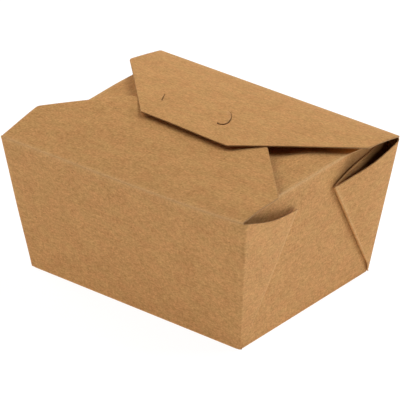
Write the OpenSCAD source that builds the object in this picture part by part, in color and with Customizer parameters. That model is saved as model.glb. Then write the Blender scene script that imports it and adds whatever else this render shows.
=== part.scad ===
// Folded paperboard takeaway box with web corners and a roof of four flaps.
// The box is one creased sheet: every panel is a plate of the board's thickness,
// placed by the corner points it runs between, and a rounded fold joins it to the
// next. X runs along the long walls, the front long wall faces -Y, and Z is up from
// the table. Panel sizes are measured at the middle of the board.

/* [Board] */
// Thickness of the board
board_t = 0.45; // [0.35:0.05:0.6]
// Outer radius of a creased fold, a little over half the board
fold_r = 0.28; // [0.2:0.02:0.34]

/* [Base] */
// Length of the base along the long walls
base_l = 114; // [100:1:120]
// Width of the base along the end walls
base_w = 88; // [76:1:96]

/* [Walls] */
// Height of the long walls' top creases above the table
height = 63.5; // [50:0.5:80]
// Length of the long walls' top creases
long_top_l = 130.5; // [124:0.5:136]
// Distance between the long walls' top creases
top_w = 105.5; // [98:0.5:112]
// Distance between the end walls' top creases
end_top_l = 119; // [116:0.5:123]
// How far the end walls' top creases stop short of each long wall's
end_set_in = 0.95; // [0.5:0.05:4.5]
// How far the end walls' top creases lie below the long ones, so that the flaps stack
end_drop = 0.5; // [0.4:0.1:2]

/* [Web corners] */
// Length of a corner's diagonal fold
web_fold_l = 61.3; // [45:0.1:62]
// How far the diagonal fold's tip stands off the end wall
web_lift = 2.3; // [1.2:0.1:4]
// How far below the top creases a corner's free edges start
web_drop = 0.6; // [0.5:0.1:3]
// Sag of the outer leaf's free edge between its ends
web_sag = 1.4; // [0:0.1:4]

/* [Long flaps] */
// Reach of the front flap from its crease, along the board
front_flap_l = 52.5; // [44:0.5:58]
// Length of the front flap's sides before they turn in
front_side_l = 24.5; // [16:0.5:30]
// Length of the front flap's free edge
front_edge_w = 76; // [60:1:84]
// Widest width of the front flap, across its outer corners
front_wide_w = 131; // [126:0.5:134]
// Mean slope of the front flap
front_slope = 7.5; // [4:0.5:12]
// Reach of the rear flap from its crease, along the board
rear_flap_l = 64.5; // [58:0.5:72]
// Length of the rear flap's sides before they turn in
rear_side_l = 21.5; // [16:0.5:30]
// Length of the rear flap's free edge
rear_edge_w = 47; // [44:1:60]
// Widest width of the rear flap, across its outer corners
rear_wide_w = 132; // [126:0.5:136]
// How much the slope of a long flap eases from its crease to its free edge
flap_bow = 8; // [1:0.5:10]
// Rounding of the long flaps' outer corners
wide_corner_r = 3; // [0.5:0.5:6]
// Rounding of the long flaps' free corners
free_corner_r = 1.2; // [0.5:0.1:5]
// Clear height between the rear flap and the front flap's free edge below it
flap_gap = 0.3; // [0.25:0.05:2]
// Clear distance between the rear flap and the fold that it turns on
hinge_gap = 0.2; // [0.15:0.05:0.5]

/* [End flaps] */
// Reach of an end flap from its crease, along the board
end_flap_l = 40; // [30:1:44]
// Inset of an end flap's sides from the ends of its crease
end_flap_inset = 1.8; // [1.4:0.1:4]
// Angle by which an end flap's sides turn in
end_flap_taper = 45; // [45:1:52]
// Rounding of an end flap's free corners
end_corner_r = 6; // [1:0.5:8]

/* [Lock] */
// Radius of the half-moon tongue cut in the rear flap
lock_r = 19; // [14:0.5:20]
// Distance of the tongue's root line from the rear crease
lock_root = 50; // [46:0.5:54]
// Place of the tongue's middle along the flap
lock_x = -8.7; // [-12:0.1:12]
// Radius of the hooks that end the tongue's cut
hook_r = 1.9; // [1:0.1:3]
// Length of the flick that ends each hook
flick_l = 2.4; // [0.5:0.1:4]
// Width of the cut
cut_w = 0.3; // [0.2:0.05:0.6]
// Reach of the front flap's tab under the rear flap
tab_l = 19; // [12:0.5:24]
// Width of that tab at its root
tab_w = 44; // [30:1:50]
// Rounding of that tab's corners
tab_corner_r = 6; // [2:0.5:8]

/* [Hidden] */
$fn = 48;
arc_steps = 12;         // chords in each drawn arc
leaf_inset = fold_r / 2; // a leaf's sides end inside its folds
bead_r = 1.25 * fold_r; // where the folds of a corner meet
flick_lean = 25;        // turn of each flick, out from the tongue's middle
kraft = "#bf9262";
kraft_light = "#c49768";

// Vectors and planes
function unit(v) = v / norm(v);
function turn(a, b) = acos(unit(a) * unit(b));

// Middle of the board in the base, and the corner points of the front right quarter.
// The other corners are its mirror images.
mid_z = board_t / 2;
end_top_w = top_w - 2 * end_set_in;
foot = [base_l / 2, -base_w / 2, mid_z];
long_top = [long_top_l / 2, -top_w / 2, height];
end_top = [end_top_l / 2, -end_top_w / 2, height - end_drop];
// Points where the corner's free edges start, just below the creases
long_notch = long_top + web_drop * unit(foot - long_top);
end_notch = end_top + web_drop * unit(foot - end_top);

// The board closes round each foot without stretching: what the base and the two
// walls leave of a full turn is the web. Its diagonal fold lies where the two leaves
// beside it use up the web exactly, with the tip standing web_lift off the end wall.
web_angle = 360 - 90 - turn([-1, 0, 0], long_top - foot) - turn([0, 1, 0], end_top - foot);
to_long = unit(long_top - foot);
to_end = unit(end_top - foot);
off_end_wall = unit(cross([0, 1, 0], end_top - foot));
along_end_wall = cross(to_end, off_end_wall);
lift_angle = asin(web_lift / web_fold_l);
function fold_way(w) = sin(lift_angle) * off_end_wall
    + cos(lift_angle) * (cos(w) * to_end + sin(w) * along_end_wall);
function leaves(w) = turn(fold_way(w), to_long) + turn(fold_way(w), to_end);
function fold_angle(low, high, tries) = let (w = (low + high) / 2)
    tries == 0 ? w : leaves(w) > web_angle ? fold_angle(low, w, tries - 1)
    : fold_angle(w, high, tries - 1);
web_tip = foot + web_fold_l * fold_way(fold_angle(0, 90, 40));
// The leaves' side folds start above the foot: the long wall's clear of the base's
// folds, and the end wall's where it parts from the long wall's
long_fold_start = 3.6 * fold_r;
end_fold_start = 1.3 * fold_r / sin(turn(to_long, to_end) / 2);

// Plane coordinates of point s, where the plane's origin is p, its X axis runs
// towards q, and r lies on the side of +Y
function plane_x(p, q) = unit(q - p);
function plane_z(p, q, r) = unit(cross(q - p, r - p));
function plane_y(p, q, r) = cross(plane_z(p, q, r), plane_x(p, q));
function flat(p, q, r, s) = [(s - p) * plane_x(p, q), (s - p) * plane_y(p, q, r)];

// Points of a shallow arc from a to b that sags towards c
function sagging(a, b, c, sag) = [for (i = [0 : arc_steps])
    let (t = i / arc_steps)
    a + t * (b - a) + 4 * t * (1 - t) * sag * unit(c - (a + b) / 2)];

// Points of a leaf, drawn in evenly from the sides of its triangle p q r
function drawn_in(points, p, q, r, by) = let (
        a = norm(q - r), b = norm(r - p), c = norm(p - q),
        middle = (a * p + b * q + c * r) / (a + b + c),
        reach = norm(cross(q - p, r - p)) / (a + b + c))
    [for (s = points) middle + (s - middle) * (1 - by / reach)];

// Points of a corner at b, between a and c, rounded by radius r
function rounded(a, b, c, r) = let (
        u = unit(a - b), v = unit(c - b),
        half = turn(a - b, c - b) / 2,
        centre = b + unit(u + v) * r / sin(half),
        start = b + u * r / tan(half) - centre,
        side = cross([u[0], u[1], 0], [v[0], v[1], 0])[2] > 0 ? -1 : 1,
        sweep = side * (180 - 2 * half))
    [for (i = [0 : arc_steps / 2]) let (w = i * sweep / (arc_steps / 2))
        centre + [start[0] * cos(w) - start[1] * sin(w), start[0] * sin(w) + start[1] * cos(w)]];

// Profile of a flap that leaves its crease at slope s and eases by `ease` degrees
// over its reach l: the point at distance d along it, as [out from the crease, up]
function bend_radius(l, ease) = l / (ease * PI / 180);
function bent(s, l, ease, d) = let (w = ease * d / l, r = bend_radius(l, ease))
    2 * r * sin(w / 2) * [cos(s - w / 2), sin(s - w / 2)];

// The front flap's slope is given. The rear flap's follows from it: it clears the
// front flap's free edge, or lies over the middle if that edge falls short.
front_start = front_slope + flap_bow / 2;
front_free = bent(front_start, front_flap_l, flap_bow, front_flap_l);
over_edge = [top_w - front_free[0], front_free[1] + board_t + flap_gap];
rear_ease_there = flap_bow * norm(over_edge) / rear_flap_l;
rear_start = atan2(over_edge[1], over_edge[0]) + rear_ease_there / 2;
hinge_inset = fold_r + hinge_gap;

// Height of a long flap's middle above its crease, at distance out from it
function long_rise(s, l, out) = bent(s, l, flap_bow, out / cos(s - flap_bow / 2))[1];

// End flaps rise until their tips lie under both long flaps and the tab between them
end_half_w = end_top_w / 2 - end_flap_inset;
end_tip_half = end_half_w - end_flap_l * tan(end_flap_taper);
end_tip_out = top_w / 2 - max(end_tip_half, 0);
end_tip_rise = min(
    long_rise(front_start, front_flap_l, end_tip_out),
    long_rise(rear_start, rear_flap_l, end_tip_out)) - 2 * (board_t + flap_gap);
end_slope = asin((end_tip_rise + end_drop) / end_flap_l);
// The tip's rounding, no larger than its width takes
end_tip_r = min(end_corner_r, 0.98 * end_tip_half * tan(45 + end_flap_taper / 2));

// A flat plate of board through the given points, which lie in one plane
module panel(p, q, r, outline) {
    x = plane_x(p, q);
    y = plane_y(p, q, r);
    z = plane_z(p, q, r);
    multmatrix([
        [x[0], y[0], z[0], p[0]],
        [x[1], y[1], z[1], p[1]],
        [x[2], y[2], z[2], p[2]],
        [0, 0, 0, 1]])
        translate([0, 0, -board_t / 2])
            linear_extrude(board_t)
                polygon(outline);
}

// A flat plate whose corners are the given points, where the first two and the last
// aren't in a line
module panel_between(points) {
    p = points[0];
    q = points[1];
    r = points[len(points) - 1];
    panel(p, q, r, [for (s = points) flat(p, q, r, s)]);
}

// A creased fold along the line from a to b
module fold(a, b) {
    way = b - a;
    translate(a)
        rotate([0, acos(way[2] / norm(way)), atan2(way[1], way[0])])
            cylinder(h = norm(way), r = fold_r);
}

function mirror_x(p) = [-p[0], p[1], p[2]];
function mirror_y(p) = [p[0], -p[1], p[2]];

module both_ends() {
    children();
    mirror([1, 0, 0]) children();
}

module both_sides() {
    children();
    mirror([0, 1, 0]) children();
}

module base_panel() {
    translate([-base_l / 2, -base_w / 2, 0])
        cube([base_l, base_w, board_t]);
}

module long_wall() {
    panel_between([foot, mirror_x(foot), mirror_x(long_top), long_top]);
    fold(foot, mirror_x(foot));
    // The top fold runs a little past the corners
    crease_end = long_top + [fold_r / 2, 0, 0];
    fold(crease_end, mirror_x(crease_end));
}

module end_wall() {
    panel_between([foot, mirror_y(foot), mirror_y(end_top), end_top]);
    fold(foot, mirror_y(foot));
    // The top fold stops short of the corners, clear of the long flaps
    crease_end = end_top + [0, end_flap_inset / 2, 0];
    fold(crease_end, mirror_y(crease_end));
}

// One web corner: an outer leaf folded off the long wall, an inner leaf folded off
// the end wall, the diagonal fold that joins them against the end wall, and the bead
// at the foot where the folds meet
module web_corner() {
    outer = concat([foot], sagging(web_tip, long_notch, foot, web_sag));
    panel_between(drawn_in(outer, foot, web_tip, long_notch, leaf_inset));
    inner = [foot, web_tip, end_notch];
    panel_between(drawn_in(inner, foot, web_tip, end_notch, leaf_inset));
    translate(foot) sphere(r = bead_r);
    fold(foot, web_tip);
    fold(foot + long_fold_start * to_long, long_notch);
    fold(foot + end_fold_start * to_end, end_notch);
}

// An end flap, folded in from the end wall's top crease
module end_flap() {
    inner = [end_flap_l, end_tip_half];
    root = [0, end_half_w];
    outline = concat(
        [[0, -end_half_w]],
        rounded([0, -end_half_w], [inner[0], -inner[1]], inner, end_tip_r),
        rounded([inner[0], -inner[1]], inner, root, end_tip_r),
        [root]);
    translate([end_top[0], 0, end_top[2]])
        rotate([0, end_slope, 0])
            mirror([1, 0, 0])
                translate([0, 0, -board_t / 2])
                    linear_extrude(board_t)
                        polygon(outline);
}

// Plan outline of a long flap, from its crease on Y = 0 towards +Y
function flap_plan(crease_w, wide_w, edge_w, side_out, free_out, start_out) = let (
        a = [crease_w / 2, start_out], b = [wide_w / 2, side_out], c = [edge_w / 2, free_out],
        right = concat([a], rounded(a, b, c, wide_corner_r),
            rounded(b, c, [-c[0], c[1]], free_corner_r)))
    concat(right, [for (i = [len(right) - 1 : -1 : 0]) [-right[i][0], right[i][1]]]);

// A bent sheet as wide as the box that leaves a crease on the X axis towards +Y
module bent_sheet(s, l, half_w) {
    low = [for (i = [0 : arc_steps]) bent(s, l, flap_bow, i * l / arc_steps)];
    normal = [for (i = [0 : arc_steps]) let (w = s - flap_bow * i / arc_steps)
        board_t / 2 * [-sin(w), cos(w)]];
    section = concat(
        [for (i = [0 : arc_steps]) low[i] - normal[i]],
        [for (i = [arc_steps : -1 : 0]) low[i] + normal[i]]);
    rotate([90, 0, 90])
        translate([0, 0, -half_w])
            linear_extrude(2 * half_w)
                polygon(section);
}

module upright(outline) {
    translate([0, 0, -height])
        linear_extrude(2 * height)
            polygon(outline);
}

// A long flap, bent and cut to its plan outline
module long_flap(s, l, side_l, edge_w, wide_w, start_out) {
    side_out = bent(s, l, flap_bow, side_l)[0];
    free_out = bent(s, l, flap_bow, l)[0];
    intersection() {
        bent_sheet(s, l, wide_w / 2 + 1);
        upright(flap_plan(long_top_l, wide_w, edge_w, side_out, free_out, start_out));
    }
}

// The tab on the front flap's free edge, which slopes down under the rear flap
module lock_tab() {
    above = bent(rear_start, rear_flap_l, flap_bow, norm(over_edge) - tab_l);
    root = [-top_w / 2 + front_free[0], height + front_free[1]];
    tip = [top_w / 2 - above[0], height + above[1] - board_t - flap_gap];
    reach = norm(tip - root);
    half_root = tab_w / 2;
    half_tip = half_root - tab_corner_r;
    corners = [[half_root, 0], [half_tip, reach], [-half_tip, reach], [-half_root, 0]];
    panel(
        [lock_x, root[0], root[1]], [lock_x + 1, root[0], root[1]], [lock_x, tip[0], tip[1]],
        concat(
            [corners[3], corners[0]],
            rounded(corners[0], corners[1], corners[2], tab_corner_r),
            rounded(corners[1], corners[2], corners[3], tab_corner_r)));
    fold([lock_x - half_root, root[0], root[1]], [lock_x + half_root, root[0], root[1]]);
}

module front_flap() {
    translate([0, -top_w / 2, height])
        long_flap(front_start, front_flap_l, front_side_l, front_edge_w, front_wide_w, 0);
    lock_tab();
}

module carton() {
    color(kraft)
        difference() {
            union() {
                base_panel();
                both_sides() long_wall();
                both_ends() end_wall();
                both_ends() both_sides() web_corner();
                both_ends() end_flap();
                front_flap();
            }
            // The folds round the base are pressed flush with its underside
            translate([-long_top_l, -top_w, -height])
                cube([2 * long_top_l, 2 * top_w, height]);
        }
}

// The cut that frees the half-moon tongue, in plan from the rear crease: a half
// ring open towards the free edge, with a hook turned in at each end
module lock_cut() {
    root_out = bent(rear_start, rear_flap_l, flap_bow, lock_root)[0];
    translate([lock_x, root_out]) {
        difference() {
            circle(r = lock_r + cut_w / 2);
            circle(r = lock_r - cut_w / 2);
            translate([-2 * lock_r, 0]) square([4 * lock_r, 2 * lock_r]);
        }
        for (side = [-1, 1])
            translate([side * (lock_r - hook_r), 0])
                difference() {
                    circle(r = hook_r + cut_w / 2);
                    circle(r = hook_r - cut_w / 2);
                    translate([-2 * hook_r, -4 * hook_r]) square(4 * hook_r);
                }
        for (side = [-1, 1])
            translate([side * (lock_r - 2 * hook_r), 0])
                rotate([0, 0, side * flick_lean])
                    translate([-cut_w / 2, -flick_l])
                        square([cut_w, flick_l + cut_w]);
    }
}

module rear_flap() {
    color(kraft_light)
        translate([0, top_w / 2, height])
            mirror([0, 1, 0])
                difference() {
                    long_flap(rear_start, rear_flap_l, rear_side_l, rear_edge_w, rear_wide_w,
                        hinge_inset);
                    translate([0, 0, -height])
                        linear_extrude(2 * height)
                            lock_cut();
                }
}

carton();
rear_flap();
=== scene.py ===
# A folded paperboard takeaway box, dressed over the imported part: one mesh for the
# carton and one for the hinged rear flap, both of thin kraft board.
import math

import bmesh
import bpy
import numpy as np
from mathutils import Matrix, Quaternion, Vector


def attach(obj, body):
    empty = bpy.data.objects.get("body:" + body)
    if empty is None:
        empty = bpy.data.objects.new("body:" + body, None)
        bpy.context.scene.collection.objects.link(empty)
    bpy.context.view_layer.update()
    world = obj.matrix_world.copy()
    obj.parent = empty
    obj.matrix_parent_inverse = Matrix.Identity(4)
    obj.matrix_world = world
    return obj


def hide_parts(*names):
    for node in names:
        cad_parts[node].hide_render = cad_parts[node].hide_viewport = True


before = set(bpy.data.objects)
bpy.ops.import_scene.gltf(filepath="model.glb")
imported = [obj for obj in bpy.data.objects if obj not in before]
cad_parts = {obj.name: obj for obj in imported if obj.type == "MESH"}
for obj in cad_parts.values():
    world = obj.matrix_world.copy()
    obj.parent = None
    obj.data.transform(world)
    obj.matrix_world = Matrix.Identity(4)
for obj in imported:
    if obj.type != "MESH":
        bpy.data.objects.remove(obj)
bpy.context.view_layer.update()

# Sizes are in millimetres up to the making of each mesh. X runs along the long walls,
# the front long wall faces -Y, and the board's sizes are taken at its middle.
MM = 0.001
BOARD = 0.45                    # thickness of the board
BASE_L = 114.0                  # along the long walls
BASE_W = 88.0
HEIGHT = 63.5                   # of the long walls' top creases
LONG_TOP_L = 131.3              # length of those creases
TOP_W = 105.5                   # and the distance between them
END_TOP_L = 119.0               # distance between the end walls' top creases
END_TOP_W = 103.6               # and their length
END_DROP = 0.5                  # how far they lie below the long walls' ones

# Web corners, where -1 stands for the two in front and 1 for the two behind
WEB_TIP = {-1: (60.7, 11.1, 53.1), 1: (60.75, 13.75, 53.1)}   # tops of the diagonal folds
FOLD_HIGH = {-1: 0.0, 1: 1.3}   # how far a diagonal fold leaves the corner above the foot
FOLD_OFF = {-1: 0.0, 1: 0.4}    # how far it stands off the end wall there
LEAVE_HEIGHT = 0.1              # share of the height over which these two set in
WEB_DROP = {-1: 0.6, 1: 1.6}    # a corner's free edge starts this far below the crease
OUTER_SAG = 1.0                 # dip of the outer leaf's free edge between its ends
INNER_SAG = {-1: 3.6, 1: -1.2}  # the same for the inner leaf
WEB_BULGE = 0.7                 # how far the outer leaf's free edge bows outward
TIP_STEP = 0.5                  # the inner leaf starts this far below the outer one
LEAF_W = 38.0                   # a web leaf's width along its free edge

# Folds: radius at the middle of the board, at the foot and at the top of a corner
CORNER_FOLD = (0.35, 1.7)
TIP_FOLD = {-1: (0.1, 0.34), 1: (0.2, 0.5)}
END_FOLD = (0.1, 0.3)
BEAD_R = 0.29                   # creases along the top
BEAD_STOP = 1.0                 # they stop this far short of the corners

# Feet of the corners, and the base
FOOT_BOARD = 0.12               # board crushed where a corner's folds meet
CRUSH_HEIGHT = 0.3              # share of the height over which it recovers
FOOT_Z = 0.3                    # height at which the walls start
FOOT_CORNER = 57.25             # half length of the long walls there
FOOT_STAND = 0.45               # how far a diagonal fold's foot stands off the end wall
TIP_FOOT_IN = 0.65              # and how far inside the long wall's foot
END_FOOT_IN = 0.15              # the same for the fold beside the end wall
BASE_R = 2.2                    # rounding of the base's corners
BASE_CORNER_STEPS = 6
BASE_LAP = 0.1                  # how far the base reaches out past the end walls' feet
BASE_RIM = ((0.36, 0.0), (0.16, 0.04), (0.04, 0.14), (0.0, 0.3), (0.06, 0.42),
            (0.16, 0.46))       # its rounded fold, as points (inset, height)

# Long flaps: reach along the board, slope at the crease in degrees and half width there.
# Each side has its half width at the wide corner, that corner's distance from the
# crease, the rounding there and the half width at the free edge.
FRONT = dict(length=53.4, slope=11.4, root=64.65, left=(65.5, 24.5, 3.0, 37.1),
             right=(64.7, 24.5, 3.0, 36.0))
REAR = dict(length=64.5, slope=11.43, root=65.25, left=(65.1, 21.5, 4.5, 23.0),
            right=(65.9, 22.6, 2.2, 23.7))
FLAP_EASE = 8.0                 # degrees by which a long flap's slope eases
FLAP_GAP = 0.3                  # clear height between the rear flap and the board below
FREE_R = 0.8                    # rounding of the long flaps' free corners
HINGE_LAP = 0.12                # the rear flap starts inside the crease it turns on
END_FLAP = dict(length=40.0, inset=1.8, taper=45.0, corner=6.0, slope=7.41, rows=17,
                columns=33)
TAB = dict(x=-8.7, length=19.0, width=44.0, corner=6.0, rows=9, columns=21)

# The lock's slit in the rear flap shows only at its ends, the right hook and the left
# tick: place across the flap, distance from the crease and width
SLIT_ENDS = (((6.5, 49.6, 0.4), (7.4, 50.25, 0.8), (8.5, 49.85, 0.8), (9.3, 49.05, 0.75),
              (9.6, 48.2, 0.65), (9.45, 46.1, 0.5), (8.4, 43.4, 0.36), (7.0, 40.9, 0.26),
              (5.5, 38.8, 0.2), (3.8, 37.3, 0.14), (2.2, 36.5, 0.08)),
             ((-27.9, 42.8, 0.1), (-26.6, 44.9, 0.24), (-25.4, 47.0, 0.44), (-24.5, 48.6, 0.6),
              (-23.9, 49.5, 0.25)))
SLIT_STEPS = 5                  # stretches between two of those points
KNIFE_H = 15.0                  # height of the solid that cuts the slit
TONGUE_LIFT = 0.2               # how far the board inside the hook stands up
TONGUE_RAMP = (0.5, 4.2)        # distances from its root over which it rises

# How the real box has settled away from its plan
FRONT_CREASE = (0.374, 0.65, 0.576, -0.2)   # rise along it, a cubic in x / half length
CORNER_IN = 0.7                 # the front right corner leans in at the top
LEFT_END_DIP = 0.9
LEFT_END_MIDDLE = -6            # where along Y it is deepest
RIGHT_END_RISE = 1.1
RIGHT_END_TILT = 0.012          # what that gains with each mm to the rear
ROOF_SAG = 1.1                  # on the right side

# Where each of these sets in along an axis, from no effect to its full effect
FRONT_Y = (-26, -50)
BELOW_ROOF_Z = (66.2, 64.8)
LEFT_END_X = (-40, -55)
LEFT_END_REACH = (26, 0)
RIGHT_END_X = (30, 50)
RIGHT_END_FRONT_Y = (-50, -20)
RIGHT_END_REAR_Y = (38, 22)
ROOF_Z = (64.5, 67.5)
ROOF_X = (-20, 25)
ROOF_FRONT_Y = (-42, -15)
ROOF_REAR_Y = (50, 10)

# The feet at the front left and the rear right stand in: how far along X, and where
# that sets in along X, Y and Z
FOOT_IN = ((0.7, (-30, -56), (-10, -40), (34, 0)), (-0.4, (30, 56), (-30, 35), (60, 0)))

# Grids. The band of walls has rows at these shares of its height, columns at these
# distances from a fold, and others spread evenly between those.
LEVELS = np.array([0, 0.01, 0.025, 0.045, 0.07, 0.1, 0.14, 0.18, 0.23,
                   *np.linspace(0.3, 0.92, 12), 0.95, 0.975, 0.99, 1.0])
FOLD_COLUMNS = (0.5, 1.2, 2.4)
WALL_COLUMNS = {"long": 30, "end": 24}
LEAF_COLUMNS = 9
ARC_STEPS = {"long": 8, "tip": 12, "end": 10}
ROW_STEP = 2.2                  # between a long flap's rows
CREASE_ROWS = np.array([0.3, 0.8, 1.5])    # closer ones beside a flap's crease
EDGE_ROWS = np.array([0.25, 0.7, 1.4])     # and beside its free edge
EDGE_CLEAR = 1.5                # the even rows stop this far short of it
FLAP_COLUMNS = np.array([-1, *np.linspace(-0.985, 0.985, 49), 1])
PROFILE_STEPS = 200
BEAD_SIDES = 12
BEAD_RINGS = 27
BEAD_CAP = (15, 40, 65, 90)     # rings of a round end, in degrees from its tip

# Wear and painted shade. A vertex has 1 on a worn fold, 0 on plain board, -1 in painted shade.
FOLD_REACH = 0.8                # how far a fold marks the board beside it
FOLD_WEAR = {"long": 0.06, "tip": 0.5, "end": 0.3}
# The top creases' wear also stands in for the light they catch: a painted highlight.
TOP_WEAR_AND_HIGHLIGHT = {"long": 0.6, "end": 0.75}
TIP_PAINTED_SHADE = (0.85, 0.6)          # shares of a diagonal fold's turn where shade is painted on it
POCKET_SHADE = 0.85             # painted shade: how dark a web's pocket is at its end
POCKET_OUTER = (0.15, 0.6)      # shares of the outer leaf's width over which that sets in
POCKET_INNER = (0.35, 0.75)     # the same for the inner leaf
POCKET_WALL = (7.0, 1.5)        # distances from the corner, along the long wall
POCKET_HEIGHT = (0.4, 0.8)      # shares of the height
CORNER_SHADE = 0.62             # painted shadow on the end wall under the rear flap's wide corner: its darkness
CORNER_EDGE = (54.8, 0.85)      # that shade's edge: height beside the web, and lean back
CORNER_BEHIND = (-2, 10)        # distances behind the edge over which the shade sets in
CORNER_Z = (51, 55)             # and heights

# The board's pattern lies on the flat board. Each noise has its scale per mm along and
# across it, turn in degrees, detail and distortion.
FLAT_MAP = "flat_board"
INNER_SIDE_AT = 600.0           # the inner side's place on the pattern
LONG_FLAP_AT = 100.0            # and the flaps', so that none repeats the walls'
TAB_AT = 60.0
END_FLAP_AT = (40.0, 160.0)
GRAIN = ((1.0, 1.3), 0, 4, 0.0)
MOTTLE = ((0.36, 0.55), 0, 2, 0.0)
BLOTCH = ((0.07, 0.1), 0, 3, 0.0)
FIBRES = ((0.3, 2.0), 8, 3, 0.8)
CROSS_FIBRES = ((0.4, 1.8), -50, 3, 0.8)
PATCHES = ((0.13, 0.2), 25, 2, 0.0)
PLY = ((1.5, 1.5), 0, 3, 0.0)
SPECKS = ((0.36, 0.5), 20)      # scale and turn of the flecks' cells
GRAIN_WEIGHT = 2.0              # shares of the noises in the tone
MOTTLE_WEIGHT = 1.0
BLOTCH_WEIGHT = 0.6
FIBRE_WEIGHT = 0.6
CROSS_WEIGHT = 0.5
KRAFT_DARK = (0.43, 0.206, 0.066, 1)
KRAFT_LIGHT = (0.67, 0.362, 0.136, 1)
KRAFT_FLECK = (0.22, 0.095, 0.028, 1)
# Pale of worn folds, and along the top creases also a painted highlight
KRAFT_WORN_AND_HIGHLIT = (0.76, 0.480, 0.225, 1)
TINT_PINK = (1.02, 0.988, 1.0, 1)
TINT_OLIVE = (0.98, 1.012, 1.0, 1)
EDGE_DARK = (0.32, 0.160, 0.055, 1)
EDGE_LIGHT = (0.46, 0.255, 0.100, 1)
# The slit's walls are painted dark: painted shade inside the slit
SLIT_SHADE_DARK = (0.16, 0.065, 0.014, 1)
SLIT_SHADE_LIGHT = (0.26, 0.115, 0.030, 1)
# Painted shade under the diagonal folds, in the web pockets and on the end walls under the rear
# flap's corners
PAINTED_SHADE = (0.1, 0.036, 0.008, 1)
SHEEN = 0.1                     # the board's specular level
CUT_EDGE = 1                    # places of the cut edges' material and of the slit's painted shade, after the board's own
SLIT_SHADE = 2

# View: the photograph's long lens, from the front right and above
LENS = 376.9
SENSOR = 36
VIEW_AZIMUTH = 39.03
VIEW_ELEVATION = 27.795
VIEW_DISTANCE = 1750.0
VIEW_TARGET = (13.47, -16.44, 44.15)
VIEW_ROLL = 0.2

# Light. Each lamp has its azimuth, elevation, side in metres, power in watts and colour.
LAMPS = {
    "back light": (160, 60, 0.7, 8.9, (0.965, 1.0, 1.05)),
    "left light": (275, 40, 0.7, 8.5, (1.05, 1.0, 0.93)),
    "right light": (128, 22, 0.3, 4.6, (0.985, 1.03, 1.13)),
    "front light": (-40, 18, 0.7, 1.8, (1, 1, 1)),
}
LAMP_DISTANCE = 1.3             # in metres
LAMP_AIM = (0, 0, 0.03)
WHITE = (1, 1, 1, 1)
FLOOR_GREY = (0.8, 0.8, 0.8, 1)
FLOOR_REACH = 4.0               # half its side, in metres
FLOOR_GLOW = 0.7                # what the floor gives the box's low parts as a light table
STAGE_LIFT = 0.78               # share of the floor that is plain white to the camera


def smooth(x, start, end):
    """0 up to start, 1 from end on, smooth between them; end may be the lower one."""
    t = np.clip((x - start) / (end - start), 0, 1)
    return t * t * (3 - 2 * t)


def between(ends, t):
    return ends[0] + (ends[1] - ends[0]) * t


def settled(points):
    """Points of the plan, moved as the real board has settled. Nothing moves on the
    rear crease, which is the joint's line."""
    x, y, z = np.array(points, float).T
    share = np.clip(z / HEIGHT, 0, 1) ** 2
    across = np.clip(x / (LONG_TOP_L / 2), -1, 1)
    front = smooth(y, *FRONT_Y) * share
    low = share * smooth(z, *BELOW_ROOF_Z)
    left = smooth(x, *LEFT_END_X) * low
    left *= smooth(np.abs(y - LEFT_END_MIDDLE), *LEFT_END_REACH)
    right = smooth(x, *RIGHT_END_X) * low
    right *= smooth(y, *RIGHT_END_FRONT_Y)
    right *= smooth(y, *RIGHT_END_REAR_Y)
    roof = smooth(z, *ROOF_Z) * smooth(x, *ROOF_X)
    roof *= smooth(y, *ROOF_FRONT_Y)
    roof *= smooth(y, *ROOF_REAR_Y)
    rise = front * np.polyval(FRONT_CREASE, across)
    rise += right * (RIGHT_END_RISE + RIGHT_END_TILT * y)
    rise -= LEFT_END_DIP * left + ROOF_SAG * roof
    inward = CORNER_IN * front * np.maximum(across, 0) ** 3
    foot = 0.0
    for far, along_x, along_y, along_z in FOOT_IN:
        foot = foot + far * smooth(x, *along_x) * smooth(y, *along_y) * smooth(z, *along_z)
    return np.column_stack([x + foot, y + inward, z + rise])


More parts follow.
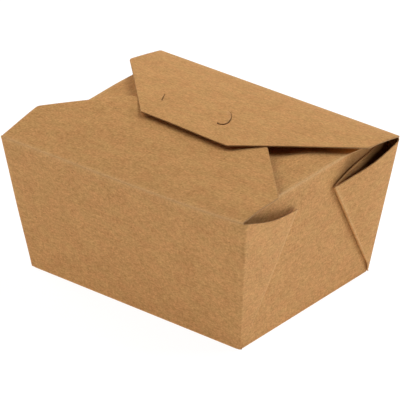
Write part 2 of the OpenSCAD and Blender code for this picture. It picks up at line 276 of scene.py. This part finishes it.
class Board:
    """Closed solids of board, gathered into one mesh."""

    def __init__(self):
        self.points = []
        self.faces = []
        self.flats = []   # place of each vertex on the flat board, for the pattern
        self.folds = []   # 1 on a worn fold or crease, 0 away from it, -1 in painted shade
        self.cuts = []    # place of each face's material: 0 for board, 1 for a cut edge

    def add_points(self, points, flats, folds):
        start = len(self.points)
        self.points.extend(points)
        self.flats.extend(flats)
        self.folds.extend(folds)
        return start

    def add_face(self, corners, cut=0):
        self.faces.append(corners)
        self.cuts.append(cut)

    def add_sheet(self, middle, flat, fold, thickness=BOARD, outward=None, wrap=False,
                  inside=None):
        """A sheet of board round a grid of points at its middle. Its outer side is
        where the grid's columns turn into its rows by the right-hand rule. inside
        gives other fold values for the inner side."""
        rows, cols = middle.shape[:2]
        if outward is None:
            outward = grid_normals(middle, wrap)
        half = np.broadcast_to(np.asarray(thickness) / 2, (rows, cols))[..., None]
        sides = []
        for side in (1, -1):
            points = (middle + side * half * outward).reshape(-1, 3)
            flats = (flat + INNER_SIDE_AT * (side == -1)).reshape(-1, 2)
            folds = fold if side == 1 or inside is None else inside
            sides.append(self.add_points(points, flats, folds.reshape(-1)))
        outer, inner = sides
        last = cols if wrap else cols - 1
        for r in range(rows - 1):
            for c in range(last):
                d = (c + 1) % cols
                quad = [r * cols + c, r * cols + d, (r + 1) * cols + d, (r + 1) * cols + c]
                self.add_face([outer + k for k in quad])
                self.add_face([inner + k for k in reversed(quad)])
        rim = [(r, 0, r + 1, 0) for r in range(rows - 1) if not wrap]
        rim += [(r + 1, cols - 1, r, cols - 1) for r in range(rows - 1) if not wrap]
        rim += [(0, (c + 1) % cols, 0, c) for c in range(last)]
        rim += [(rows - 1, c, rows - 1, (c + 1) % cols) for c in range(last)]
        for r, c, s, d in rim:
            a, b = r * cols + c, s * cols + d
            self.add_face([outer + a, outer + b, inner + b, inner + a], CUT_EDGE)

    def add_bead(self, start, end, radius, worn):
        """A crease: a slim roll of board between two points, with round ends."""
        start, end = np.array(start, float), np.array(end, float)
        way = (end - start) / np.linalg.norm(end - start)
        across = np.cross(way, [0.0, 0.0, 1.0])
        across /= np.linalg.norm(across)
        up = np.cross(across, way)
        cap = [math.radians(turn) for turn in BEAD_CAP]
        rings = [(start - way * radius * math.cos(a), radius * math.sin(a)) for a in cap]
        rings += [(start + (end - start) * t, radius)
                  for t in np.linspace(0, 1, BEAD_RINGS)[1:-1]]
        rings += [(end + way * radius * math.cos(a), radius * math.sin(a))
                  for a in reversed(cap)]
        points = []
        flats = []
        for centre, reach in rings:
            for k in range(BEAD_SIDES):
                turn = 2 * math.pi * k / BEAD_SIDES
                points.append(centre + reach * (math.cos(turn) * across + math.sin(turn) * up))
                flats.append(((centre - start) @ way, radius * turn))
        first = self.add_points(points, flats, [worn] * len(points))
        self.close_rings(first, len(rings), BEAD_SIDES)

    def close_rings(self, first, rings, count):
        """Faces between rings of count points each, and a face at both ends."""
        for r in range(rings - 1):
            a, b = first + r * count, first + (r + 1) * count
            for k in range(count):
                j = (k + 1) % count
                self.add_face([a + k, a + j, b + j, b + k])
        self.add_face([first + k for k in reversed(range(count))])
        self.add_face([first + (rings - 1) * count + k for k in range(count)])

    def make(self, name, materials):
        """The gathered solids as one object, settled as the real box is."""
        mesh = bpy.data.meshes.new(name)
        points = [Vector(p) * MM for p in settled(self.points)]
        mesh.from_pydata(points, [], self.faces)
        for material in materials:
            mesh.materials.append(material)
        mesh.polygons.foreach_set("material_index", self.cuts)
        mesh.polygons.foreach_set("use_smooth", [not cut for cut in self.cuts])
        corners = [0] * len(mesh.loops)
        mesh.loops.foreach_get("vertex_index", corners)
        flats = np.array(self.flats, float)[corners] * MM
        mesh.uv_layers.new(name=FLAT_MAP).uv.foreach_set("vector", flats.ravel())
        # The fold attribute carries wear, the creases' painted highlight and painted shade.
        fold = mesh.attributes.new("fold", "FLOAT", "POINT")
        fold.data.foreach_set("value", [float(f) for f in self.folds])
        mesh.validate()
        piece = bpy.data.objects.new(name, mesh)
        bpy.context.scene.collection.objects.link(piece)
        return piece


def grid_normals(grid, wrap=False):
    """Unit normals of a grid of points, by the slopes along its columns and rows."""
    if wrap:
        along = np.roll(grid, -1, axis=1) - np.roll(grid, 1, axis=1)
    else:
        along = np.gradient(grid, axis=1)
    normal = np.cross(along, np.gradient(grid, axis=0))
    return normal / np.linalg.norm(normal, axis=-1, keepdims=True)


# The walls and web corners: a band of board that runs round the box like a belt over
# round posts. Each corner has three: the fold beside the long wall, the diagonal
# fold at the web's tip, and the fold beside the end wall, where the belt turns back.
def post(kind, v, end):
    """Centre in the first quadrant, radius and turn of a corner's post at share v of
    the height. end is -1 for a front corner and 1 for a rear one."""
    hem = smooth(v, 0, CRUSH_HEIGHT)
    end_wall = between((BASE_L / 2 - FOOT_BOARD, END_TOP_L / 2), v)
    end_r = between(END_FOLD, hem)
    tip_r = between(TIP_FOLD[end], hem)
    foot_tip = BASE_L / 2 - FOOT_BOARD + 2 * END_FOLD[0] + TIP_FOLD[-1][0] + FOOT_STAND
    if kind == "end":
        side = between((BASE_W / 2 - END_FOOT_IN, END_TOP_W / 2), v) - end_r
        return np.array([end_wall + end_r, side]), end_r, -1
    if kind == "tip":
        side = between((BASE_W / 2 - TIP_FOOT_IN, WEB_TIP[end][1]), v) + tip_r
        low = smooth(v, 0, LEAVE_HEIGHT) * (1 - v)
        out = between((foot_tip, WEB_TIP[end][0]), v) + FOLD_OFF[end] * low
        return np.array([out, side + FOLD_HIGH[end] * low]), tip_r, 1
    r = between(CORNER_FOLD, v)
    corner_x = between((FOOT_CORNER, LONG_TOP_L / 2), v)
    return np.array([corner_x - r, between((BASE_W / 2, TOP_W / 2), v) - r]), r, 1


def left_of(way):
    return np.array([-way[1], way[0]])


def tangent_normal(start, end):
    """Left-hand normal of the straight stretch of belt between two posts."""
    gap = end[0] - start[0]
    distance = np.linalg.norm(gap)
    along = gap / distance
    lean = (end[2] * end[1] - start[2] * start[1]) / distance
    return lean * along + math.sqrt(1 - lean * lean) * left_of(along)


def belt(posts, counts):
    """Points round the posts, with the left-hand normal at each. counts gives the
    steps in each post's arc and in the straight stretch after it."""
    nexts = posts[1:] + posts[:1]
    normals = [tangent_normal(here, there) for here, there in zip(posts, nexts)]
    points = []
    lefts = []
    for i, (centre, r, turn) in enumerate(posts):
        arc, straight = counts[i]
        before, after = normals[i - 1], normals[i]
        start = math.atan2(before[1], before[0])
        sweep = (turn * (math.atan2(after[1], after[0]) - start)) % (2 * math.pi)
        for k in range(arc):
            a = start + turn * sweep * k / arc
            left = np.array([math.cos(a), math.sin(a)])
            points.append(centre - turn * r * left)
            lefts.append(left)
        c, q, d = nexts[i]
        leave, arrive = centre - turn * r * after, c - d * q * after
        for t in straight:
            points.append(leave + (arrive - leave) * t)
            lefts.append(after)
    return np.array(points), np.array(lefts)


def spread(length, count):
    """Shares along a stretch, up to its end but without it: close together near both
    its folds, even between."""
    near = [0.0] + [distance / length for distance in FOLD_COLUMNS]
    middle = np.linspace(near[-1], 1 - near[-1], count)[1:-1]
    return near + list(middle) + [1 - n for n in reversed(near[1:])]


class Column:
    """One column of the band: its height, the wall it belongs to, how worn it is as a fold
    (below 0, painted shade under a diagonal fold), how far it bows outward at the top, how worn
    its crease at the top is (with a painted highlight), whether it lies in a web corner, and how
    much shade is painted on its inner side, deep in a web's pocket."""

    def __init__(self, top, wall, fold=0.0, bow=0.0, crease=0.0, in_web=True, shade=0.0):
        self.top = top
        self.wall = wall
        self.fold = fold
        self.bow = bow
        self.crease = crease
        self.in_web = in_web
        self.shade = shade


def wear(kind, distance=0.0):
    """How worn the board looks at a distance from a fold. The soft vertical corners
    of the long walls hardly show."""
    return FOLD_WEAR[kind] * math.exp(-distance / FOLD_REACH)


def band_columns(kinds):
    """The band's columns in order, the steps that the belt takes between its posts,
    and the column in the middle of each wall."""
    end_z = HEIGHT - END_DROP
    wall_z = {"long": HEIGHT, "end": end_z}
    wall_steps = {"long": spread(LONG_TOP_L, WALL_COLUMNS["long"]),
                  "end": spread(END_TOP_W, WALL_COLUMNS["end"])}
    leaf_steps = spread(LEAF_W, LEAF_COLUMNS)
    columns = []
    counts = []
    middles = {}
    for i, (x, y, kind) in enumerate(kinds):
        before, after = kinds[i - 1][2], kinds[(i + 1) % len(kinds)][2]
        free_z = {"long": HEIGHT - WEB_DROP[y], "tip": WEB_TIP[y][2],
                  "end": end_z - WEB_DROP[-1]}
        wall = (x, 0) if kind == "end" else (0, y)
        tops = (wall_z[kind] if before == kind else free_z[kind],
                wall_z[kind] if after == kind else free_z[kind])
        if kind == "tip":
            tops = (tops[0] - TIP_STEP * (before == "end"), tops[1] - TIP_STEP * (after == "end"))
        for k in range(ARC_STEPS[kind]):
            share = k / ARC_STEPS[kind]
            fold = wear(kind)
            if kind == "tip":
                outer = share if before == "end" else 1 - share
                # painted shade on the half of a diagonal fold's turn that faces the end wall
                fold -= (1 + fold) * smooth(outer, *TIP_PAINTED_SHADE)
            # a long fold's arc gets painted shade on its inner side
            columns.append(Column(between(tops, share), wall, fold, in_web=kind != "long",
                                  shade=POCKET_SHADE * (kind == "long")))
        if kind == after:
            steps = wall_steps[kind]
            middles[wall] = len(columns) + len(steps) // 2
            for t in steps:
                near = min(t, 1 - t) * LONG_TOP_L
                # painted shade on the long wall's inner side near a corner
                shade = POCKET_SHADE * smooth(near, *POCKET_WALL) * (kind == "long")
                columns.append(Column(wall_z[kind], wall, wear(kind, near),
                                      crease=TOP_WEAR_AND_HIGHLIGHT[kind], in_web=False, shade=shade))
        else:
            steps = leaf_steps
            outer = "long" in (kind, after)
            for t in steps:
                arch = 4 * t * (1 - t)
                dip = arch * (OUTER_SAG if outer else INNER_SAG[y])
                fold = wear(kind, t * LEAF_W) + wear(after, (1 - t) * LEAF_W)
                step = 0.0 if outer else TIP_STEP * (t if after == "tip" else 1 - t)
                top = between((free_z[kind], free_z[after]), t) - dip - step
                away = 1 - t if after == "tip" else t
                # painted shade on a leaf's inner side, deeper into the pocket
                shade = POCKET_SHADE * smooth(away, *(POCKET_OUTER if outer else POCKET_INNER))
                columns.append(Column(top, (0, y), fold, arch if outer else 0.0, shade=shade))
        counts.append((ARC_STEPS[kind], steps))
    return columns, counts, middles


def side_band(board):
    """Walls and web corners, in one closed band of board."""
    kinds = []
    for x, y in ((1, -1), (1, 1), (-1, 1), (-1, -1)):
        names = ("long", "tip", "end") if x * y < 0 else ("end", "tip", "long")
        kinds.extend((x, y, name) for name in names)
    columns, counts, middles = band_columns(kinds)
    tops = np.array([c.top for c in columns])
    bows = np.array([c.bow for c in columns])
    in_web = np.array([c.in_web for c in columns])
    homes = np.array([middles[c.wall] for c in columns])
    middle, outward, flat, thickness = [], [], [], []
    for v in LEVELS:
        posts = []
        for x, y, kind in kinds:
            centre, r, turn = post(kind, v, y)
            posts.append((centre * np.array([x, y]), r, turn))
        points, lefts = belt(posts, counts)
        z = FOOT_Z + (tops - FOOT_Z) * v
        bulge = WEB_BULGE * bows * v ** 2
        middle.append(np.column_stack([points - lefts * bulge[:, None], z]))
        outward.append(np.column_stack([-lefts, np.zeros(len(z))]))
        steps = np.linalg.norm(np.roll(points, -1, axis=0) - points, axis=1)
        along = np.cumsum(steps) - steps
        round_box = steps.sum()
        away = (along - along[homes] + round_box / 2) % round_box - round_box / 2
        flat.append(np.column_stack([away, z]))
        crush = (BOARD - FOOT_BOARD) * (1 - smooth(v, 0, CRUSH_HEIGHT))
        thickness.append(np.where(in_web, BOARD - crush, BOARD))
    middle = np.array(middle)
    depths = (1 - LEVELS)[:, None] * tops
    fold = np.maximum([c.fold for c in columns],
                      [c.crease for c in columns] * np.exp(-depths / FOLD_REACH))
    # painted shade inside the web pockets, on the band's inner side
    pocket = smooth(LEVELS, *POCKET_HEIGHT)[:, None] * [c.shade for c in columns]
    # painted shadow of the rear flap's wide corners on the end walls' outer side
    corner = CORNER_SHADE * corner_shade(columns, middle)
    board.add_sheet(middle, np.array(flat), fold * (1 - corner) - corner,
                    np.array(thickness), np.array(outward), wrap=True,
                    inside=fold * (1 - pocket) - pocket)


def corner_shade(columns, middle):
    """Where a shadow of the rear flap's wide corners is painted on the end walls: 0 to 1."""
    on_end_wall = np.array([c.wall[1] == 0 for c in columns])
    edge_z, lean = CORNER_EDGE
    y, z = middle[..., 1], middle[..., 2]
    behind = y - WEB_TIP[1][1] - lean * (z - edge_z)
    return on_end_wall * smooth(behind, *CORNER_BEHIND) * smooth(z, *CORNER_Z)


def base_plate(board):
    """The base, with its rounded fold all round."""
    half_l = BASE_L / 2 + BOARD / 2 + BASE_LAP
    half_w = BASE_W / 2 + BOARD / 2
    points = []
    for inset, z in BASE_RIM:
        r = BASE_R - inset
        for x, y, start in ((1, -1, -90), (1, 1, 0), (-1, 1, 90), (-1, -1, 180)):
            for k in range(BASE_CORNER_STEPS + 1):
                a = math.radians(start + 90 * k / BASE_CORNER_STEPS)
                points.append((x * (half_l - BASE_R) + r * math.cos(a),
                               y * (half_w - BASE_R) + r * math.sin(a), z))
    count = len(points) // len(BASE_RIM)
    flats = [(x, y) for x, y, z in points]
    folds = [0.0] * count + [1.0] * (len(points) - count)
    first = board.add_points(points, flats, folds)
    board.close_rings(first, len(BASE_RIM), count)


# Flaps
def bent(slope, length, ease, d):
    """The point at distance d along a flap's profile, as (out from the crease, up)."""
    turn = math.radians(ease * d / length)
    r = length / math.radians(ease)
    s = math.radians(slope)
    return np.array([2 * r * math.sin(turn / 2) * math.cos(s - turn / 2),
                     2 * r * math.sin(turn / 2) * math.sin(s - turn / 2)])


def rounded(a, b, c, r, steps=8):
    """Points of the corner at b, between a and c, rounded by radius r."""
    a, b, c = (np.array(p, float) for p in (a, b, c))
    u = (a - b) / np.linalg.norm(a - b)
    v = (c - b) / np.linalg.norm(c - b)
    half = math.acos(np.clip(u @ v, -1, 1)) / 2
    start = b + u * r / math.tan(half)
    end = b + v * r / math.tan(half)
    points = []
    for k in range(steps + 1):
        t = k / steps
        points.append((1 - t) ** 2 * start + 2 * t * (1 - t) * b + t * t * end)
    return points


def side_of(flap, side, start):
    """A long flap's left or right side, from its crease to its free edge, as points
    (half width, distance along the board)."""
    wide, reach, round_r, free = flap[side]
    a = (flap["root"], start)
    b = (wide, reach)
    c = (free, flap["length"])
    points = [np.array(a)]
    points += rounded(a, b, c, round_r)
    points += rounded(b, c, (0, flap["length"]), FREE_R)
    return np.array(points)


def long_flap(board, flap, side, start):
    """A long flap, from its crease on the wall at y = side * TOP_W / 2 inward."""
    left, right = side_of(flap, "left", start), side_of(flap, "right", start)
    rows = sorted(set(np.round(np.concatenate([
        left[:, 1], right[:, 1], np.arange(start, flap["length"] - EDGE_CLEAR, ROW_STEP),
        start + CREASE_ROWS, flap["length"] - EDGE_ROWS]), 4)))
    middle, flat, fold = [], [], []
    for d in rows:
        low = -np.interp(d, left[:, 1], left[:, 0])
        high = np.interp(d, right[:, 1], right[:, 0])
        out, up = bent(flap["slope"], flap["length"], FLAP_EASE, d)
        x = (low + high) / 2 - side * FLAP_COLUMNS * (high - low) / 2
        middle.append(np.column_stack([x, np.full_like(x, side * (TOP_W / 2 - out)),
                                       np.full_like(x, HEIGHT + up)]))
        flat.append(np.column_stack([-side * x, np.full_like(x, d)]))
        fold.append(np.full_like(x, TOP_WEAR_AND_HIGHLIGHT["long"] * math.exp(-(d - start) / FOLD_REACH)))
    flat = np.array(flat) + (0, LONG_FLAP_AT * side)
    board.add_sheet(np.array(middle), flat, np.array(fold))


def slit_line(given):
    """One end of the slit, its middle on the flat flap and its half width, as a smooth
    curve through the given points."""
    knots = np.array([given[0]] + list(given) + [given[-1]])
    points = []
    for k in range(1, len(given)):
        a, b, c, d = knots[k - 1:k + 3]
        for t in np.arange(SLIT_STEPS) / SLIT_STEPS:
            points.append(b + 0.5 * t * (c - a + t * (2 * a - 5 * b + 4 * c - d
                                                      + t * (3 * (b - c) + d - a))))
    points = np.array(points + [given[-1]])
    return points[:, :2], points[:, 2:] / 2


def rear_profile():
    """The rear flap's profile: distances along the board, and how far out each lies."""
    steps = np.linspace(0, REAR["length"], PROFILE_STEPS)
    outs = np.array([bent(REAR["slope"], REAR["length"], FLAP_EASE, d)[0] for d in steps])
    return steps, outs


def slit_knife(line, half, materials):
    """An upright solid round one end of the slit; its faces take the slit's painted shade."""
    ahead = np.gradient(line, axis=0)
    across = np.column_stack([-ahead[:, 1], ahead[:, 0]])
    across /= np.linalg.norm(across, axis=1, keepdims=True)
    rim = np.concatenate([line + across * half, (line - across * half)[::-1]])
    steps, outs = rear_profile()
    count = len(rim)
    points = [Vector((x, TOP_W / 2 - np.interp(d, steps, outs), z)) * MM
              for z in (HEIGHT, HEIGHT + KNIFE_H) for x, d in rim]
    faces = [[k, (k + 1) % count, (k + 1) % count + count, k + count] for k in range(count)]
    faces += [list(range(count))[::-1], list(range(count, 2 * count))]
    mesh = bpy.data.meshes.new("slit")
    mesh.from_pydata(points, [], faces)
    for material in materials:
        mesh.materials.append(material)
    mesh.polygons.foreach_set("material_index", [SLIT_SHADE] * len(faces))
    tool = bmesh.new()
    tool.from_mesh(mesh)
    bmesh.ops.recalc_face_normals(tool, faces=tool.faces)
    tool.to_mesh(mesh)
    tool.free()
    knife = bpy.data.objects.new("slit", mesh)
    bpy.context.scene.collection.objects.link(knife)
    return knife


def cut_slit(piece, line, half):
    """Cut one end of the lock's slit through the rear flap."""
    knife = slit_knife(line, half, piece.data.materials)
    cut = piece.modifiers.new("slit", "BOOLEAN")
    cut.operation = "DIFFERENCE"
    cut.solver = "EXACT"
    cut.object = knife
    graph = bpy.context.evaluated_depsgraph_get()
    mesh = bpy.data.meshes.new_from_object(piece.evaluated_get(graph))
    piece.modifiers.clear()
    whole = piece.data
    piece.data = mesh
    bpy.data.meshes.remove(whole)
    mesh.name = piece.name
    used = knife.data
    bpy.data.objects.remove(knife)
    bpy.data.meshes.remove(used)


def lift_tongue(mesh, line):
    """Lift the board inside the right hook, away from its ends."""
    steps, outs = rear_profile()
    chord = line[-1] - line[0]
    chord /= np.linalg.norm(chord)
    for vertex in mesh.vertices:
        x, y = vertex.co.x / MM, vertex.co.y / MM
        d = float(np.interp(TOP_W / 2 - y, outs, steps))
        if x > 0 and inside(x, d, line):
            away = abs(chord[0] * (d - line[0, 1]) - chord[1] * (x - line[0, 0]))
            vertex.co.z += TONGUE_LIFT * smooth(away, *TONGUE_RAMP) * MM


def inside(x, y, outline):
    """Whether a point lies inside a closed outline."""
    hits = 0
    for (ax, ay), (bx, by) in zip(outline, np.roll(outline, -1, axis=0)):
        if (ay > y) != (by > y) and x < ax + (bx - ax) * (y - ay) / (by - ay):
            hits += 1
    return hits % 2 == 1


def lock_tab(board):
    """The tab on the front flap's free edge, under the rear flap."""
    out, up = bent(FRONT["slope"], FRONT["length"], FLAP_EASE, FRONT["length"])
    root = np.array([-TOP_W / 2 + out, HEIGHT + up])
    reach = math.hypot(TOP_W - out, up + BOARD + FLAP_GAP)
    above = bent(REAR["slope"], REAR["length"], FLAP_EASE, reach - TAB["length"])
    tip = np.array([TOP_W / 2 - above[0], HEIGHT + above[1] - BOARD - FLAP_GAP])
    length = np.linalg.norm(tip - root)
    half = TAB["width"] / 2
    side = np.array([np.array([half, 0.0])] + rounded(
        (half, 0), (half - TAB["corner"], length), (0, length), TAB["corner"]))
    rows = sorted(set(np.round(np.concatenate([
        side[:, 1], np.linspace(0, length, TAB["rows"])]), 4)))
    columns = np.linspace(-1, 1, TAB["columns"])
    middle, flat, fold = [], [], []
    for d in rows:
        x = columns * np.interp(d, side[:, 1], side[:, 0])
        y, z = root + (tip - root) * d / length
        middle.append(np.column_stack([TAB["x"] + x, np.full_like(x, y), np.full_like(x, z)]))
        flat.append(np.column_stack([x, np.full_like(x, d + TAB_AT)]))
        fold.append(np.full_like(x, math.exp(-d / FOLD_REACH)))
    board.add_sheet(np.array(middle), np.array(flat), np.array(fold))


def end_flap(board, side):
    """The flap folded in from the end wall at x = side * END_TOP_L / 2."""
    half = END_TOP_W / 2 - END_FLAP["inset"]
    length = END_FLAP["length"]
    tip = half - length * math.tan(math.radians(END_FLAP["taper"]))
    edge = np.array([np.array([half, 0.0])] + rounded(
        (half, 0), (tip, length), (0, length), END_FLAP["corner"]))
    rows = sorted(set(np.round(np.concatenate([
        edge[:, 1], np.linspace(0, length, END_FLAP["rows"]), CREASE_ROWS]), 4)))
    columns = np.linspace(-1, 1, END_FLAP["columns"])
    rise = math.radians(END_FLAP["slope"])
    middle, flat, fold = [], [], []
    for d in rows:
        y = columns * np.interp(d, edge[:, 1], edge[:, 0])
        x = END_TOP_L / 2 - d * math.cos(rise)
        z = HEIGHT - END_DROP + d * math.sin(rise)
        middle.append(np.column_stack([np.full_like(y, side * x), side * y, np.full_like(y, z)]))
        flat.append(np.column_stack([y + END_FLAP_AT[0] * side,
                                     np.full_like(y, d + END_FLAP_AT[1])]))
        fold.append(np.full_like(y, TOP_WEAR_AND_HIGHLIGHT["end"] * math.exp(-d / FOLD_REACH)))
    board.add_sheet(np.array(middle), np.array(flat), np.array(fold))


# Materials
class Nodes:
    """Short calls for building a material's nodes."""

    def __init__(self, name):
        self.material = bpy.data.materials.new(name)
        self.material.use_nodes = True
        self.tree = self.material.node_tree
        self.shader = self.tree.nodes["Principled BSDF"]

    def add(self, kind, inputs=None, **settings):
        node = self.tree.nodes.new("ShaderNode" + kind)
        for key, value in settings.items():
            setattr(node, key, value)
        for key, value in (inputs or {}).items():
            self.join(value, node.inputs[key])
        return node

    def join(self, value, socket):
        if isinstance(value, bpy.types.NodeSocket):
            self.tree.links.new(value, socket)
        else:
            socket.default_value = value

    def maths(self, operation, a, b=0.0, c=0.0):
        return self.add("Math", {0: a, 1: b, 2: c}, operation=operation).outputs[0]

    def blend(self, fac, low, high):
        node = self.add("Mix", data_type="RGBA")
        self.join(fac, node.inputs[0])
        self.join(low, node.inputs[6])
        self.join(high, node.inputs[7])
        return node.outputs[2]

    def range(self, value, low, high, to_low=0.0, to_high=1.0):
        return self.add("MapRange", {0: value, 1: low, 2: high, 3: to_low, 4: to_high}).outputs[0]

    def place(self, scale, turn):
        """The flat board's coordinates in millimetres, turned and scaled."""
        flat = self.add("UVMap", uv_map=FLAT_MAP).outputs[0]
        node = self.add("Mapping", {0: flat, 2: (0, 0, math.radians(turn))})
        node.inputs[3].default_value = (scale[0] / MM, scale[1] / MM, 1)
        return node.outputs[0]

    def noise(self, scale, turn, detail, distortion):
        node = self.add("TexNoise", {"Vector": self.place(scale, turn), "Scale": 1.0,
                                     "Detail": detail, "Distortion": distortion})
        return node.outputs[0]

    def bump(self, height, depth, strength):
        """Relief of the given depth in millimetres."""
        node = self.add("Bump", {"Height": height, "Distance": depth * MM,
                                 "Strength": strength})
        self.join(node.outputs[0], self.shader.inputs["Normal"])


def kraft_board():
    """Plain kraft: fibres and mottling in the tone, dark flecks, pale worn folds with a painted
    highlight along the top creases, and painted shade under folds, in pockets and on the end
    walls."""
    n = Nodes("kraft board")
    grain = n.noise(*GRAIN)
    fibres = n.noise(*FIBRES)
    tone = n.maths("MULTIPLY_ADD", grain, GRAIN_WEIGHT, -GRAIN_WEIGHT / 2)
    for noise, weight in ((n.noise(*MOTTLE), MOTTLE_WEIGHT), (n.noise(*BLOTCH), BLOTCH_WEIGHT),
                          (fibres, FIBRE_WEIGHT), (n.noise(*CROSS_FIBRES), CROSS_WEIGHT)):
        tone = n.maths("MULTIPLY_ADD", noise, weight, n.maths("SUBTRACT", tone, weight / 2))
    tone = n.maths("ADD", tone, 0.5)
    colour = n.blend(tone, KRAFT_DARK, KRAFT_LIGHT)
    patch = n.range(n.noise(*PATCHES), 0.38, 0.62)
    tint = n.blend(patch, TINT_PINK, TINT_OLIVE)
    colour = n.add("VectorMath", {0: colour, 1: tint}, operation="MULTIPLY").outputs[0]
    specks = n.add("TexVoronoi", {"Vector": n.place(*SPECKS), "Scale": 1.0})
    near = n.range(specks.outputs[0], 0.06, 0.2, 1.0, 0.0)
    chosen = n.range(n.add("SeparateColor", {0: specks.outputs[1]}).outputs[0], 0.84, 0.9)
    fleck = n.maths("MULTIPLY", near, chosen)
    colour = n.blend(n.maths("MULTIPLY", fleck, 0.6), colour, KRAFT_FLECK)
    fold = n.add("Attribute", attribute_name="fold").outputs[2]
    # Pale on worn folds; along the top creases this is also a painted highlight
    worn = n.maths("MULTIPLY", fold, n.range(grain, 0.35, 0.65, 0.5, 0.9))
    colour = n.blend(worn, colour, KRAFT_WORN_AND_HIGHLIT)
    # Painted shade where the fold attribute is below 0
    colour = n.blend(n.maths("MULTIPLY", fold, -0.9), colour, PAINTED_SHADE)
    n.join(colour, n.shader.inputs["Base Color"])
    n.join(n.range(grain, 0.3, 0.7, 0.55, 0.7), n.shader.inputs["Roughness"])
    n.shader.inputs["Specular IOR Level"].default_value = SHEEN
    n.bump(n.maths("MULTIPLY_ADD", fibres, 0.6, grain), 0.05, 0.7)
    return n.material


def cut_edge(name, dark, light):
    """The board's core, where it is cut; with the slit's dark colours, painted shade in the slit.
    """
    n = Nodes(name)
    ply = n.noise(*PLY)
    n.join(n.blend(n.range(ply, 0.3, 0.7), dark, light), n.shader.inputs["Base Color"])
    n.shader.inputs["Roughness"].default_value = 0.85
    n.bump(ply, 0.08, 0.8)
    return n.material


def white_stage():
    """White to the camera, dimmed a little where the box shades it, and a light table
    to everything else."""
    n = Nodes("white stage")
    n.shader.inputs["Base Color"].default_value = FLOOR_GREY
    n.shader.inputs["Roughness"].default_value = 0.9
    rays = n.add("LightPath")
    seen = n.maths("MAXIMUM", rays.outputs["Is Camera Ray"], rays.outputs["Is Glossy Ray"])
    table = n.add("Emission", {"Color": WHITE, "Strength": FLOOR_GLOW})
    lit = n.add("AddShader", {0: n.shader.outputs[0], 1: table.outputs[0]})
    white = n.add("Emission", {"Color": WHITE, "Strength": 1.0})
    share = n.maths("MULTIPLY", seen, STAGE_LIFT)
    mix = n.add("MixShader", {0: share, 1: lit.outputs[0], 2: white.outputs[0]})
    output = n.tree.nodes["Material Output"]
    n.join(mix.outputs[0], output.inputs[0])
    return n.material


# Camera and light
def stage(material):
    mesh = bpy.data.meshes.new("floor")
    corners = [(x * FLOOR_REACH, y * FLOOR_REACH, 0)
               for x, y in ((-1, -1), (1, -1), (1, 1), (-1, 1))]
    mesh.from_pydata(corners, [], [(0, 1, 2, 3)])
    mesh.materials.append(material)
    floor = bpy.data.objects.new("floor", mesh)
    bpy.context.scene.collection.objects.link(floor)


def area_light(name, azimuth, elevation, size, power, colour):
    """A soft square lamp, aimed at the box from the given side."""
    data = bpy.data.lights.new(name, "AREA")
    data.size = size
    data.energy = power
    data.color = colour
    lamp = bpy.data.objects.new(name, data)
    back = direction(azimuth, elevation)
    lamp.location = Vector(LAMP_AIM) + back * LAMP_DISTANCE
    lamp.rotation_euler = back.to_track_quat("Z", "Y").to_euler()
    bpy.context.scene.collection.objects.link(lamp)


def direction(azimuth, elevation):
    """Unit vector towards a viewer at that azimuth, where 0 is in front (-Y) and 90
    is on +X, and that elevation."""
    a, e = math.radians(azimuth), math.radians(elevation)
    return Vector((math.sin(a) * math.cos(e), -math.cos(a) * math.cos(e), math.sin(e)))


def world_light():
    """A white room to the camera and in reflections, which lights nothing else."""
    world = bpy.data.worlds.new("studio")
    world.use_nodes = True
    bpy.context.scene.world = world
    tree = world.node_tree
    rays = tree.nodes.new("ShaderNodeLightPath")
    seen = tree.nodes.new("ShaderNodeMath")
    seen.operation = "MAXIMUM"
    tree.links.new(rays.outputs["Is Camera Ray"], seen.inputs[0])
    tree.links.new(rays.outputs["Is Glossy Ray"], seen.inputs[1])
    background = tree.nodes["Background"]
    background.inputs[0].default_value = WHITE
    tree.links.new(seen.outputs[0], background.inputs[1])


def camera():
    data = bpy.data.cameras.new("camera")
    data.lens = LENS
    data.sensor_width = SENSOR
    view = bpy.data.objects.new("camera", data)
    back = direction(VIEW_AZIMUTH, VIEW_ELEVATION)
    view.location = (Vector(VIEW_TARGET) + back * VIEW_DISTANCE) * MM
    roll = Quaternion((0, 0, 1), math.radians(VIEW_ROLL))
    view.rotation_euler = (back.to_track_quat("Z", "Y") @ roll).to_euler()
    bpy.context.scene.collection.objects.link(view)
    bpy.context.scene.camera = view


# The box
def carton(materials):
    board = Board()
    base_plate(board)
    side_band(board)
    crease_x = LONG_TOP_L / 2 - BEAD_STOP
    crease_y = END_TOP_W / 2 - BEAD_STOP
    end_z = HEIGHT - END_DROP
    for side in (-1, 1):
        y = side * TOP_W / 2
        board.add_bead((-crease_x, y, HEIGHT), (crease_x, y, HEIGHT), BEAD_R, TOP_WEAR_AND_HIGHLIGHT["long"])
        x = side * END_TOP_L / 2
        board.add_bead((x, -crease_y, end_z), (x, crease_y, end_z), BEAD_R, TOP_WEAR_AND_HIGHLIGHT["end"])
        end_flap(board, side)
    long_flap(board, FRONT, -1, 0.0)
    lock_tab(board)
    piece = board.make("carton_board", materials)
    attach(piece, "carton")
    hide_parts("carton")


def rear_flap(materials):
    board = Board()
    long_flap(board, REAR, 1, HINGE_LAP)
    piece = board.make("rear_flap_board", materials)
    for given in SLIT_ENDS:
        line, half = slit_line(given)
        cut_slit(piece, line, half)
        lift_tongue(piece.data, line)
    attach(piece, "rear_flap")
    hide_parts("rear_flap")


bpy.context.scene.view_settings.view_transform = "Standard"
camera()
world_light()
for name, lamp in LAMPS.items():
    area_light(name, *lamp)
stage(white_stage())
# The third material paints shade inside the lock's slit.
boards = [kraft_board(), cut_edge("cut edge", EDGE_DARK, EDGE_LIGHT),
          cut_edge("slit painted shade", SLIT_SHADE_DARK, SLIT_SHADE_LIGHT)]
carton(boards)
rear_flap(boards)
